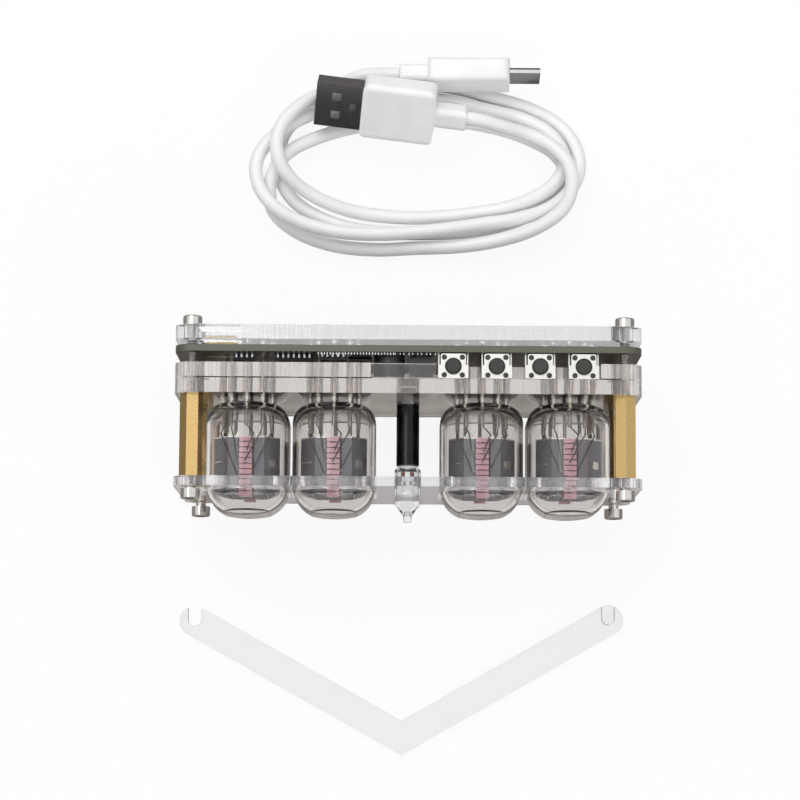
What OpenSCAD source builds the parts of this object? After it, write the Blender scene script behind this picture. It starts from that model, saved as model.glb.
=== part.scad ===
// Four-digit glow-tube clock in an open sandwich of clear plates, with its
// detached V stand and its loosely coiled charging cable.
// Origin: middle of the mid plate's bottom edge. +X right, +Y back, +Z up.

/* [Plates] */
// Width of the clear plates and of the circuit board
plate_w = 112; // [108:1:140]
// Height of the clear plates and of the circuit board
plate_h = 46; // [44:1:60]
// Thickness of the back, spacer and mid plates
plate_t = 3.5; // [2:0.1:5]
// Thickness of the front plate and of the stand
front_t = 2.3; // [1.5:0.1:4]
// Radius of the plates' corners
corner_r = 4; // [2:0.5:8]
// Distance of each screw from the two nearest plate edges
screw_inset = 4; // [3.5:0.25:6]

/* [Stack, from the mid plate back] */
// Gap between the mid plate and the spacer plate
spacer_gap = 0.3; // [0:0.1:2]
// Thickness of the circuit board
board_t = 1.6; // [0.8:0.1:2.4]
// Gap between the circuit board and the back plate
back_gap = 1.4; // [1:0.1:4]
// Length of the hexagonal standoffs in front of the mid plate
standoff_len = 20; // [18:0.5:24]
// Width across the flats of the standoffs
standoff_af = 4.8; // [4:0.1:6]

/* [Screws] */
// Thread diameter of all the screws
thread_d = 2.5; // [2:0.1:3]
// Diameter of the round socket heads
head_d = 4.6; // [4:0.1:6]
// Height of the round socket heads
head_h = 2.5; // [2:0.1:4]
// Across-flats width of the hexagonal sockets
socket_af = 2.0; // [1.5:0.1:3]
// How far the upper front heads stand off the front plate
upper_slack = 0.5; // [0:0.1:2]
// How far the lower front heads stand off, where the stand hooks in
lower_slack = 1.3; // [0.5:0.1:3]

/* [Tubes] */
// Width of a tube's oval bulb
tube_w = 20.3; // [16:0.1:20.9]
// Height of a tube's oval bulb
tube_h = 31; // [26:0.5:38]
// Length of a tube's bulb, base to dome
tube_len = 27.1; // [22:0.1:33]
// Distance between the tubes of one pair
tube_pitch = 21.2; // [21:0.1:24]
// Distance of each inner tube from the middle
tube_inner = 18; // [15:0.1:20]
// Wall of the glass bulb
glass_wall = 0.9; // [0.6:0.1:1.5]
// Gap between the mid plate and the tubes' bases
tube_seat = 0.6; // [0.2:0.1:2]

/* [Colon lamp] */
// Outer diameter of the shrink sleeve
sleeve_d = 5.6; // [5:0.1:7]
// Diameter of the lamp's glass
lamp_d = 6.4; // [5.8:0.1:8]
// How far the lamp's tip stands in front of the front plate
lamp_reach = 6.6; // [4:0.1:10]

/* [Buttons] */
// Side of a switch's square face
switch_w = 6; // [5:0.1:7.5]
// Height of a switch's housing below its face
switch_h = 3.6; // [3:0.1:5]
// Distance between the switches
switch_pitch = 10.4; // [9:0.1:12]
// Distance of the first switch from the middle
switch_first = 10.7; // [9:0.1:14]
// Diameter of the round buttons
button_d = 3.9; // [2.5:0.1:4.1]
// How far a button stands above its face
button_rise = 0.9; // [0.5:0.1:4]
// Travel of a button
button_travel = 0.25; // [0.15:0.05:0.4]

/* [Stand] */
// Width of the stand's arms
arm_w = 7.5; // [5:0.1:10]
// Drop from the slots to the middle of the bend
arm_drop = 29.3; // [20:0.1:40]
// Depth of a slot from the rim of the stand's end
stand_slot = 5; // [3.5:0.1:6]
// Kerf round the knock-out left in the right slot
kerf = 0.15; // [0.05:0.05:0.3]

/* [Cable] */
// Diameter of the cable's cord
cord_d = 3.5; // [2.5:0.1:3.6]

/* [Hidden] */

eps = 0.01;
smooth = 48;
fit = 0.1;               // clearance round a screw or a pin
seal = 0.02;             // clearance of a pin in its glass seal
cut = 1;                 // how far a cutting shape runs past a face

// Places along the stack
mid_front = -plate_t/2;
mid_back = plate_t/2;
switch_gaps = [0.1, 0.35];           // clearance before and behind the switches
spacer_y = mid_back + spacer_gap;
board_y = mid_back + switch_w + switch_gaps[0] + switch_gaps[1];
board_back = board_y + board_t;
back_y = board_back + back_gap;
back_face = back_y + plate_t;
front_y = mid_front - standoff_len;
front_face = front_y - front_t;
screw_x = plate_w/2 - screw_inset;
screw_z = [screw_inset, plate_h - screw_inset];
mid_z = plate_h/2;

// Tubes
tube_xs = [-tube_inner - tube_pitch, -tube_inner, tube_inner, tube_inner + tube_pitch];
tube_r = tube_w/2;
tube_flat = tube_h - tube_w;         // straight length between the round ends
tube_y = mid_front - tube_seat;      // back of the glass bases
base_t = 1.6;                        // thickness of the glass base
back_r = 4.5;                        // rounding of the bulb at its base
front_r = min(7.6, tube_r - 1);      // rounding round its dome
dome_r = 26;                         // radius of the dome
pin_d = 1.0;
pin_in = 4.3;                        // how far the pins reach into the bulb
pin_x = [tube_r - 6.35, tube_r - 4.25];
pin_z = [tube_h/2 - 4.5, tube_h/2 - 6.3, tube_flat/2];
pin_places = [for (s = [-1, 1]) each [[0, pin_z[0]*s], [-pin_x[0], pin_z[1]*s], [pin_x[0], pin_z[1]*s],
    [-pin_x[1], pin_z[2]*s], [pin_x[1], pin_z[2]*s], [pin_x[1]*s, 0]]];
digit_h = tube_h - 14;
digit_t = 0.25;
digit_n = 10;
stack_y = tube_y - 8.9;              // back of the digit stack
stack_len = tube_len - 12.8;
digit_pitch = (stack_len + digit_t)/(digit_n + 1);
cage_t = 0.3;                        // sheet thickness of the shield
cage_r = tube_r - glass_wall - 1.3;  // half width of the shield
cage_side = tube_flat/2 + 1.5;       // half height of the shield's upright sides
cage_top = [cage_r - 3.6, digit_h/2 + 2.8];  // corner where the sloped top turns flat
cage_len = digit_n*digit_pitch - 0.4;
block_w = 3;                         // width of the ceramic spacers
block_z = [digit_h/2 + 1.6, tube_h/2 - 2.5];  // inner and outer end of a spacer column
tail_z = block_z[1] + 0.3;           // where the numerals' tails end
mesh_t = 0.25;
mesh_y = stack_y - digit_n*digit_pitch - 0.1;
digit_order = [3, 8, 9, 4, 0, 5, 7, 2, 6, 1];
tail_x = [0, 0, 0, 0, 1.1, 0, 0, -1.1, 0, 0];  // where each numeral's tails sit

// Colon lamp
sleeve_len = 15;
lamp_y = mid_front - sleeve_len;     // front end of the sleeve
lamp_tip = front_face - lamp_reach;

// Switches
switch_y = mid_back + switch_gaps[0] + switch_w/2;
switch_xs = [for (i = [0:3]) switch_first + i*switch_pitch];
face_t = 0.3;
leg_x = switch_w/2 + 0.45;
leg_t = 0.3;
leg_z = 2;                           // depth of the legs below the face
rivet_x = switch_w/2 - 0.85;
rivet_d = 1.3;
button_gap = 0.05;
button_hole = button_d + 2*button_gap;

// Openings in the plates
usb_x = 10.6 - plate_w/2;
usb_z = plate_h - 10.5;
usb_win = [10.2, 8];
usb_body = [7.6, 2.9];
usb_front = board_y;                 // socket's closed end, let into the board
usb_mouth = back_face - 1.8;         // socket's mouth, inside the window
switch_room = 1.1;                   // spacer cut-out beyond the switches
parts_x = -9;                        // left edge of the power parts' cut-out
parts_win = [16.4, 20];              // its width, and its depth from the top edge

// Stand
stand_at = [-1.3, -53.6];
stand_turn = 0.45;
stand_slot_w = thread_d + 0.8;
stand_end_r = arm_w/2;
arm_angle = atan(arm_drop/screw_x);

// Cable route: four passes of a loose oval, twelve points each, from the
// small plug round to the large one. Each point is the mean oval plus a reach
// outwards, lifted by the height of what it lies on.
cord_middle = [2, 62.5];
cord_oval = [37.5, 19.5];
cord_r = cord_d/2;
cord_sides = 8;
step_angle = 30;
first_angle = 120;
reach = [
    3.5, 1.5, -2.5, -5, -6, -6.5, -6, -3, 0, 0, -2, -1,
    -0.5, 0.5, 3.5, 4, 1, -2, -2, 2, 4, 4, 2, 3,
    3.5, 1, -2, -1.5, -1.5, -2.5, -1.5, 0, 0.5, -4, -6, -6.5,
    -7, -6, -2, 4.5, 4, 1.5, 3, 5, 0.5, -4.5];
lift = [
    5.5, 8.5, 9, 4.5, 1, 0.5, 1, 3.5, 4.5, 3, 1.5, 1,
    2, 4.5, 5.5, 6, 5, 4.5, 4.5, 4, 2.5, 0.5, 0, 0,
    0, 0, 0, 0, 0, 0, 0, 0, 0, 0, 0, 0,
    0.5, 2, 4.5, 0.5, 0, 1, 3.5, 8, 9, 6.5];
rings_a_step = 2;
micro_exit = [-2.7, 85.4, 9];        // where the cord meets the small plug
micro_turn = 0;
large_exit = [14.4, 73.1, 13];       // where the cord meets the large plug
large_turn = 173;
large_roll = -42;
micro_roll = 80;

// ---------- shared shapes ----------

// Turns a flat outline in X and Z into a sheet that reaches back from y
module sheet_at(y, t) {
    translate([0, y + t, 0]) rotate([90, 0, 0]) linear_extrude(t) children();
}

// Round bar along Y, from y forwards by len
module bar_y(x, z, y, len, d, fn = smooth) {
    translate([x, y, z]) rotate([90, 0, 0]) cylinder(h = len, d = d, $fn = fn);
}

// Round bar between two points
module rod(a, b, d, fn = 16) {
    v = b - a;
    len = norm(v);
    translate(a) rotate([0, acos(v.z/len), atan2(v.y, v.x)]) cylinder(h = len, d = d, $fn = fn);
}

module plate_outline() {
    for (x = [-1, 1], z = [corner_r, plate_h - corner_r])
        translate([x*(plate_w/2 - corner_r), z]) circle(r = corner_r, $fn = smooth);
    translate([-plate_w/2 + corner_r, 0]) square([plate_w - 2*corner_r, plate_h]);
    translate([-plate_w/2, corner_r]) square([plate_w, plate_h - 2*corner_r]);
}

module at_screws(zs = screw_z) {
    for (x = [-1, 1], z = zs) translate([x*screw_x, z]) children();
}

module screw_holes() {
    at_screws() circle(d = thread_d + 2*fit, $fn = smooth);
}

module oval(grow) {
    for (s = [-1, 1]) translate([0, mid_z + s*tube_flat/2]) circle(r = tube_r + grow, $fn = 2*smooth);
    translate([-tube_r - grow, mid_z - tube_flat/2]) square([2*(tube_r + grow), tube_flat]);
}

module pin_holes(grow) {
    for (x = tube_xs, p = pin_places)
        translate([x + p.x, mid_z + p.y]) circle(d = pin_d + 2*grow, $fn = 16);
}

// ---------- plates and board ----------

module back_plate() color([0.88, 0.88, 0.86, 0.5])
    sheet_at(back_y, plate_t) difference() {
        plate_outline();
        screw_holes();
        translate([usb_x, usb_z]) square(usb_win, center = true);
    }

module spacer_plate() color([0.8, 0.78, 0.76, 0.5])
    sheet_at(spacer_y, plate_t) difference() {
        plate_outline();
        screw_holes();
        pin_holes(0.35);
        // Window that the four switches reach into
        translate([switch_xs[0] - switch_w/2 - switch_room, plate_h - switch_h - 2.6])
            square([3*switch_pitch + switch_w + 2*switch_room, switch_h + 2.6 + cut]);
        // Window for the tall power parts
        translate([parts_x, plate_h - parts_win.y]) square([parts_win.x, parts_win.y + cut]);
    }

module mid_plate() color([0.8, 0.78, 0.76, 0.5])
    sheet_at(mid_front, plate_t) difference() {
        plate_outline();
        screw_holes();
        pin_holes(0.35);
        translate([0, mid_z]) circle(d = sleeve_d + 2*fit, $fn = smooth);
    }

module front_plate() color([0.85, 0.84, 0.86, 0.5])
    sheet_at(front_face, front_t) difference() {
        plate_outline();
        screw_holes();
        for (x = tube_xs) translate([x, 0]) oval(0.35);
        translate([0, mid_z]) circle(d = lamp_d + 0.4, $fn = smooth);
    }

module circuit_board() color("#22241f")
    sheet_at(board_y, board_t) difference() {
        plate_outline();
        screw_holes();
        pin_holes(fit);
        for (x = switch_xs, s = [-1, 1])
            translate([x + s*leg_x, plate_h - leg_z]) circle(d = 1, $fn = 16);
        translate([usb_x, usb_z]) square(usb_body + [0.4, 0.4], center = true);
    }

// Small cones of solder round each pin's and leg's end
module solder_joints() color("#b9bcc0") {
    for (x = tube_xs, p = pin_places) joint_at(x + p.x, mid_z + p.y, pin_d);
    for (x = switch_xs, s = [-1, 1]) joint_at(x + s*leg_x, plate_h - leg_z, 0.8);
}

module joint_at(x, z, d) {
    translate([x, board_back, z]) rotate([-90, 0, 0]) difference() {
        cylinder(h = 0.7, d1 = d + 1, d2 = d + 0.3, $fn = 16);
        translate([0, 0, -cut]) cylinder(h = 1 + 2*cut, d = d + 2*seal, $fn = 16);
    }
}

// Flat black chips on the board's front, with their bent legs
chip_t = 1.5;
chips = [[-39.5, plate_h - 6.8, 4], [-27.6, plate_h - 6.8, 7], [-18.2, plate_h - 5, 5],
    [-27.6, 6.8, 8], [27.6, 6.8, 8], [0, 8, 8]];

module driver_chips() for (c = chips) chip(c.x, c.y, c.z);

module chip(x, z, n) {
    w = n*1.27;
    color("#26262a") translate([x - w/2, board_y - chip_t - 0.1, z - 2]) cube([w, chip_t, 4]);
    color("#c9ccd0") for (i = [0:n - 1], m = [0, 1])
        translate([x - w/2 + 0.635 + i*1.27 - 0.2, board_y, z]) mirror([0, 0, m])
            rotate([90, 0, 90]) linear_extrude(0.4)
                polygon([[-0.1, 3.1], [-0.35, 3.1], [-0.35, 2.6], [-0.9, 2.6], [-0.9, 2 - eps],
                    [-0.65, 2 - eps], [-0.65, 2.35], [-0.1, 2.35]]);
}

// Boost coil and capacitor in the spacer's window, and the clock crystal
parts_y = board_y - 0.1;             // where they stand on the board
coil_d = 7.4;
coil_len = parts_y - mid_back - 0.8;
can_d = parts_y - mid_back - 0.1;

module power_parts() {
    color("#3a3a3e") difference() {
        bar_y(-4.6, plate_h - 7, parts_y, coil_len, coil_d);
        bar_y(-4.6, plate_h - 7, parts_y - coil_len + 0.6, 1.2, 3);
    }
    color("#4a4340") translate([3.2, parts_y - can_d/2, plate_h - 15])
        cylinder(h = 11, d = can_d, $fn = smooth);
    color("#c2c4c8") translate([-14.4, board_y - 0.95, plate_h - 7.5]) rotate([0, 90, 0])
        cylinder(h = 5.6, d = 1.6, $fn = 24);
}

// Upright socket: a folded metal mouth round a dark tongue
module usb_socket() {
    depth = usb_mouth - usb_front;
    wall = 0.3;
    difference() {
        color("#b8aa88") translate([usb_x - usb_body.x/2, usb_front, usb_z - usb_body.y/2])
            cube([usb_body.x, depth, usb_body.y]);
        translate([usb_x - usb_body.x/2 + wall, usb_front + 0.6, usb_z - usb_body.y/2 + wall])
            cube([usb_body.x - 2*wall, depth, usb_body.y - 2*wall]);
    }
    color("#2a2622") translate([usb_x - 2, usb_front + 0.6 - eps, usb_z + 0.35])
        cube([4, depth - 1.4, 0.5]);
    // Spring strip on the top, bent up at the mouth
    color("#d8b76a") translate([usb_x - 0.9, board_back + 0.2, usb_z + usb_body.y/2 - eps])
        cube([1.8, usb_mouth - board_back - 0.2, 0.25]);
}

// ---------- standoffs and screws ----------

bore_d = thread_d + 2*seal;

// How far the hexagons of the left and the right pair are turned
standoff_turns = [-10, 30];

module standoffs() color("#d3b06c") for (x = [0, 1], z = screw_z)
    translate([(2*x - 1)*screw_x, mid_front, z]) rotate([90, 0, 0]) difference() {
        rotate(standoff_turns[x]) cylinder(h = standoff_len, r = standoff_af/2/cos(30), $fn = 6);
        translate([0, 0, -cut]) cylinder(h = standoff_len + 2*cut, d = bore_d, $fn = smooth);
    }

module at_screws_3d(y, zs = screw_z) {
    for (x = [-1, 1], z = zs) translate([x*screw_x, y, z]) children();
}

// Socket-head screw: head outwards along Z, thread down to -len
module cap_screw(len) {
    difference() {
        union() {
            cylinder(h = head_h - 0.3, d = head_d, $fn = smooth);
            translate([0, 0, head_h - 0.3]) cylinder(h = 0.3, d1 = head_d, d2 = head_d - 0.6, $fn = smooth);
            translate([0, 0, -len]) cylinder(h = len + eps, d = thread_d, $fn = smooth);
        }
        translate([0, 0, head_h - 1.3]) cylinder(h = 1.3 + cut, r = socket_af/2/cos(30), $fn = 6);
    }
}

module front_screws() color("#c9c7c3") {
    grip = 4;
    at_screws_3d(front_face - upper_slack, [screw_z[1]]) rotate([90, 0, 0])
        cap_screw(upper_slack + front_t + grip);
    at_screws_3d(front_face - lower_slack, [screw_z[0]]) rotate([90, 0, 0])
        cap_screw(lower_slack + front_t + grip);
}

module back_screws() color("#c9c7c3")
    at_screws_3d(back_face) rotate([-90, 0, 0]) cap_screw(back_face - mid_front + 4);

// ---------- tubes ----------

// Half outline of a bulb, radius along X and length along Y: rounded at its base,
// rounded more widely at its front, and closed off by a shallow dome
module bulb_half(r, len, round_base, round_front, dome) {
    intersection() {
        union() {
            square([r - round_front, len]);
            square([r - round_base, len - round_front]);
            translate([0, round_base]) square([r, len - round_base - round_front]);
            translate([r - round_base, round_base]) circle(r = round_base, $fn = smooth);
            translate([r - round_front, len - round_front]) circle(r = round_front, $fn = 1.5*smooth);
        }
        translate([0, len - dome]) circle(r = dome, $fn = 4*smooth);
        square([r, len]);
    }
}

// Oval solid of that outline: turned ends with a straight run between
module bulb_solid(r, len, round_base, round_front, dome) {
    rotate([90, 0, 0]) {
        for (s = [-1, 1]) translate([0, s*tube_flat/2, 0])
            rotate_extrude($fn = 1.5*smooth) bulb_half(r, len, round_base, round_front, dome);
        translate([0, tube_flat/2, 0]) rotate([90, 0, 0]) linear_extrude(tube_flat) {
            bulb_half(r, len, round_base, round_front, dome);
            mirror([1, 0]) bulb_half(r, len, round_base, round_front, dome);
        }
    }
}

module at_tube(i) translate([tube_xs[i], tube_y, mid_z]) children();

module tube_glass(i) color([0.75, 0.78, 0.8, 0.4]) at_tube(i) difference() {
    bulb_solid(tube_r, tube_len, back_r, front_r, dome_r);
    translate([0, -base_t, 0])
        bulb_solid(tube_r - glass_wall, tube_len - base_t - glass_wall, back_r - glass_wall,
            front_r - glass_wall, dome_r - glass_wall);
    for (p = pin_places) bar_y(p.x, p.y, cut, base_t + 2*cut, pin_d + 2*seal, 16);
}

// Pins from the board through the base, and the wires from them to the stack
module tube_pins(i) at_tube(i) {
    back = board_back - tube_y + 0.9;
    color("#c8c6bd") for (p = pin_places)
        bar_y(p.x, p.y, back, back + base_t + pin_in, pin_d, 16);
    // Two long pins carry the shield
    color("#c8c6bd") for (s = [-1, 1])
        bar_y(pin_x[1]*s, 0, -base_t, tube_y - stack_y - base_t + 0.4, pin_d*0.8, 16);
    color("#3a3634") for (s = [-1, 1], w = wires) {
        tip = [w[0].x, -base_t - pin_in + 0.2, s*w[0].y];
        knee = [w[1].x, stack_y - tube_y + w[1].y, s*w[1].z];
        end = [w[2].x, stack_y - tube_y - (w[2].y + 0.9)*digit_pitch, s*w[2].z];
        rod(tip, knee, 0.3);
        translate(knee) sphere(d = 0.42, $fn = 24);
        rod(knee, end, 0.3);
    }
    tabs();
}

// Each wire: its pin, its knee as [across, before the stack, up], and its end as
// [across, digit, up], beside the stack or on the tails above it
side = block_w/2 + 0.25;
low_end = block_z[1] - 0.5;
high_end = tail_z + 0.25;
wires = [
    [[-pin_x[1], pin_z[2]], [-pin_x[1], 0.8, cage_top.y + 0.5], [-side, 6.4, low_end]],
    [[-pin_x[0], pin_z[1]], [-max(pin_x[0] - 0.7, side + 0.9), 0.8, cage_top.y + 0.9], [-side, 4.2, low_end]],
    [[0, pin_z[0]], [1.9, 0.8, high_end - 0.2], [0.3, 1.6, high_end]],
    [[pin_x[0], pin_z[1]], [max(pin_x[0] - 0.3, 3.1), 1, high_end - 0.1], [-0.2, 3.6, high_end]],
    [[pin_x[1], pin_z[2]], [pin_x[1] - 0.1, 0.8, cage_top.y + 0.5], [side, 5, low_end]]];

// Bright tabs on the shield's upper shoulders, one upright and one lying, and lugs
tab_y = 7.1;
module tabs() color("#e8e8e4") {
    slope = atan((cage_top.y - cage_side)/(cage_r - cage_top.x));
    shoulder = [(cage_r + cage_top.x)/2, stack_y - tube_y - tab_y, (cage_top.y + cage_side)/2];
    translate(shoulder) rotate([0, slope, 0]) translate([-1.2, 0, seal]) cube([2.6, 1.8, 0.25]);
    translate([-shoulder.x, shoulder.y, shoulder.z]) rotate([0, -slope, 0])
        translate([-1, 1, seal]) cube([2.6, 0.25, 1]);
    // Four small lugs that stand back off the shield's rear edge
    lug = 0.5*cage_top.x/4.35;       // half width, in step with their spacing
    for (share = [-0.84, -0.47, 0.56, 0.84])
        translate([share*cage_top.x, stack_y - tube_y + cage_t + seal, cage_top.y - cage_t])
            linear_extrude(cage_t) polygon([[-lug, 0], [lug, 0], [0, 1.2]]);
}

module cage_outline() {
    polygon([for (s = [[1, 1], [-1, 1], [-1, -1], [1, -1]])
        each (s.x*s.y > 0
            ? [[s.x*cage_r, s.y*cage_side], [s.x*cage_top.x, s.y*cage_top.y]]
            : [[s.x*cage_top.x, s.y*cage_top.y], [s.x*cage_r, s.y*cage_side]])]);
}

// Grey sheet shield: a back wall and two bent sides, open at the stack
module tube_shield(i) color("#6e7078") at_tube(i) {
    back = stack_y - tube_y;
    sheet_at(back, cage_t) difference() {
        cage_outline();
        for (s = [-1, 1]) translate([pin_x[1]*s, 0]) circle(d = pin_d*0.8 + 2*seal, $fn = 16);
    }
    sheet_at(back - cage_len, cage_len) difference() {
        cage_outline();
        offset_cage(-cage_t);
        translate([-block_w/2 - 0.5, -tube_h/2]) square([block_w + 1, tube_h]);
    }
}

// The cage's outline moved inwards by the sheet's thickness
module offset_cage(d) {
    k = [cage_r + d, cage_side + d*0.35];
    t = [cage_top.x + d*0.6, cage_top.y + d];
    polygon([k, t, [-t.x, t.y], [-k.x, k.y], [-k.x, -k.y], [-t.x, -t.y], [t.x, -t.y], [k.x, -k.y]]);
}

// Ten stamped numerals, one behind the other, each with a tail at both ends
module tube_digits(i) color("#4b4644") at_tube(i)
    for (k = [0:digit_n - 1])
        sheet_at(stack_y - tube_y - (k + 1)*digit_pitch, digit_t) {
            numeral(digit_order[k]);
            for (s = [-1, 1])
                translate([tail_x[digit_order[k]] - 0.4, s > 0 ? digit_h/2 - 0.6 : -tail_z])
                square([0.8, tail_z - digit_h/2 + 0.6]);
        }

// Line widths and sizes of a numeral, centred, in X and up
num_w = cage_r + 1.65;
num_l = 0.9;

module ring(r, from, to) {
    intersection() {
        difference() {
            circle(r = r, $fn = smooth);
            circle(r = r - num_l, $fn = smooth);
        }
        polygon(concat([[0, 0]], [for (a = [from:(to - from)/6:to]) 2*r*[cos(a), sin(a)]]));
    }
}

module line(a, b) {
    v = b - a;
    translate(a) rotate(atan2(v.y, v.x)) translate([0, -num_l/2]) square([norm(v), num_l]);
}

module numeral(n) {
    r = num_w/2;
    h = digit_h/2;
    m = num_l/2;
    if (n == 0) {
        for (s = [0, 1]) translate([0, (s*2 - 1)*(h - r)]) ring(r, s*180 - 180, s*180);
        for (s = [-1, 1]) line([s*(r - m), r - h - eps], [s*(r - m), h - r + eps]);
    }
    if (n == 1) {
        line([0, -h], [0, h]);
        line([-2.4, h - 3], [0, h - 0.6]);
    }
    if (n == 2) {
        translate([0, h - r]) ring(r, -20, 180);
        line([-r + m, -h + m], [r - 0.7, h - r - 1.4*pow(r/4.8, 2)]);
        line([-r, -h + m], [r, -h + m]);
    }
    if (n == 3) {
        for (s = [0, 1]) translate([0, (s*2 - 1)*(h - m)/2]) ring((h + m)/2, s*50 - 160, s*50 + 110);
    }
    if (n == 4) {
        line([1.8, -h], [1.8, h]);
        line([-r, -h + 5], [r, -h + 5]);
        line([-r + m, -h + 5], [1.8, h - 0.4]);
    }
    if (n == 5) {
        translate([0, r - h]) ring(r, -160, 130);
        line([-r + 1.6, 1.77*r - h - 0.4], [-r + 1.6, h]);
        line([-r + 1.6 - m, h - m], [r - 0.6, h - m]);
    }
    if (n == 6) {
        translate([0, r - h]) ring(r, 0, 360);
        line([-r + m, r - h], [-0.6, h]);
    }
    if (n == 7) {
        line([-r, h - m], [r, h - m]);
        line([r - m, h - m], [-1.6, -h]);
        line([0, h - m], [0, h]);
    }
    if (n == 8) {
        low = 0.29*digit_h;
        high = h + m - low;
        translate([0, low - h]) ring(low, 0, 360);
        translate([0, h - high]) ring(high, 0, 360);
    }
    if (n == 9) {
        translate([0, h - r]) ring(r, 0, 360);
        line([r - m, h - r], [0.6, -h]);
    }
}

// Pink ceramic blocks that hold the tails apart, above and below
module tube_spacers(i) color("#d99ab0") at_tube(i)
    for (s = [-1, 1], k = [0:digit_n]) {
        len = digit_pitch - digit_t;
        translate([-block_w/2, stack_y - tube_y - (k + 1)*digit_pitch + digit_t,
            s > 0 ? block_z[0] : -block_z[1]]) cube([block_w, len, block_z[1] - block_z[0]]);
    }

// Honeycomb net in front of the digits: a flat middle and two sides folded back
// into the shield, with a notch for the spacers at both ends
fold_x = num_w/2 + 0.3;
fold_angle = 18;

module tube_mesh(i) color("#8a8c90") at_tube(i) translate([0, mesh_y - tube_y - mesh_t, 0]) {
    sheet_at(0, mesh_t) net(-fold_x, fold_x);
    for (s = [-1, 1]) translate([s*fold_x, 0, 0]) rotate([0, 0, s*fold_angle]) translate([-s*fold_x, 0, 0])
        sheet_at(0, mesh_t) net(s > 0 ? fold_x : -cage_r, s > 0 ? cage_r : -fold_x);
}

// The part of the net between two places across
module net(x0, x1) {
    cell = 2.7;
    bar = 0.22;
    difference() {
        intersection() {
            offset_cage(-cage_t - seal);
            translate([x0, -tube_h/2]) square([x1 - x0, tube_h]);
        }
        intersection() {
            offset_cage(-cage_t - 0.5);
            translate([x0 + 0.12, -tube_h/2]) square([x1 - x0 - 0.24, tube_h]);
            for (a = [-4:4], b = [-6:6])
                translate([a*cell*cos(30), (b + (a % 2 == 0 ? 0 : 0.5))*cell])
                    circle(r = (cell - bar)/2/cos(30), $fn = 6);
        }
        for (s = [-1, 1]) translate([-block_w/2 - 0.2, s > 0 ? block_z[0] - 0.2 : -tube_h/2])
            square([block_w + 0.4, tube_h/2 - block_z[0] + 0.2]);
    }
}

// ---------- colon lamp ----------

module lamp_glass() color([0.9, 0.9, 0.9, 0.5]) translate([0, 0, mid_z]) rotate([90, 0, 0])
    rotate_extrude($fn = smooth) difference() {
        lamp_half(0);
        lamp_half(0.6);
    }

// Half outline of the lamp: a round body, a cone and a small drawn tip
module lamp_half(wall) {
    r = lamp_d/2 - wall;
    start = -lamp_y + 0.3 + wall;
    end = -lamp_tip - 4.4 - wall;
    tip = -lamp_tip - wall*3;
    polygon([[0, start], [r - 0.8, start], [r, start + 0.8], [r, end],
        [1.1 - wall*0.6, tip + wall - 1.6], [0.9 - wall*0.6, tip], [0, tip]]);
}

module lamp_electrodes() color("#7c4a3c") {
    for (s = [-1, 1]) bar_y(s*1.1, mid_z, lamp_y - 1, 4.4, 1, 24);
}

module lamp_sleeve() color("#17171a")
    difference() {
        bar_y(0, mid_z, mid_back - 0.4, mid_back - 0.4 - lamp_y, sleeve_d);
        bar_y(0, mid_z, mid_back + cut, 1.4 + cut, 2);
    }

// ---------- switches ----------

// Bright sheet clip over each switch: face, two ears and two board legs
module switch_frames() color("#dcdcda") for (x = switch_xs) translate([x, switch_y, plate_h]) {
    ear_y = [0.1 - switch_w/2, 0.3];
    ear_len = ear_y[1] - ear_y[0];
    difference() {
        union() {
            translate([0, 0, -face_t]) linear_extrude(face_t) rounded(switch_w, switch_w, 0.5);
            for (s = [-1, 1]) translate([s > 0 ? switch_w/2 - eps : -leg_x - leg_t/2, ear_y[0], -switch_h])
                cube([leg_x + leg_t/2 - switch_w/2 + eps, ear_len, switch_h]);
        }
        translate([0, 0, -face_t - cut]) cylinder(h = face_t + 2*cut, d = button_hole, $fn = smooth);
        for (a = [-1, 1], b = [-1, 1]) translate([a*rivet_x, b*rivet_x, -face_t - cut])
            cylinder(h = face_t + 2*cut, d = rivet_d, $fn = 24);
        for (s = [-1, 1]) translate([s*(switch_w/2 + 0.1) - 0.2, ear_y[0] - cut, -switch_h - cut])
            cube([0.4, ear_len + 2*cut, switch_h - face_t + cut]);
    }
    for (s = [-1, 1]) translate([s*leg_x - leg_t/2, ear_y[1] - eps, -leg_z - 0.3])
        cube([leg_t, board_back + 0.6 - switch_y - ear_y[1], 0.6]);
}

module switch_housings() color("#2c2b29") for (x = switch_xs) translate([x, switch_y, plate_h]) {
    low = 0.4;
    difference() {
        translate([-switch_w/2 + 0.1, -switch_w/2 + 0.1, -switch_h - low])
            cube([switch_w - 0.2, switch_w - 0.2, switch_h + low - face_t]);
        translate([0, 0, -switch_h + 0.9]) cylinder(h = switch_h + cut, d = button_hole, $fn = smooth);
    }
    for (a = [-1, 1], b = [-1, 1]) translate([a*rivet_x, b*rivet_x, -face_t - eps])
        cylinder(h = face_t + 0.15, d = rivet_d - 2*seal, $fn = 24);
}

module button(i) color("#2f2e2b") translate([switch_xs[i], switch_y, plate_h]) {
    foot = switch_h - 0.9 - button_travel - 0.1;
    translate([0, 0, -foot]) cylinder(h = foot + button_rise - 0.3, d = button_d, $fn = smooth);
    translate([0, 0, button_rise - 0.3]) cylinder(h = 0.3, d1 = button_d, d2 = button_d - 0.7, $fn = smooth);
}

// ---------- stand ----------

module stand_outline() {
    for (s = [-1, 1]) {
        translate([s*screw_x, 0]) circle(r = stand_end_r, $fn = smooth);
        intersection() {
            translate([s*screw_x, 0]) rotate(s > 0 ? 180 + arm_angle : -arm_angle)
                translate([0, -arm_w/2]) square([2*screw_x, arm_w]);
            translate([s > 0 ? 0 : -screw_x - arm_w, -2*arm_drop]) square([screw_x + arm_w, 3*arm_drop]);
        }
    }
}

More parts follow.
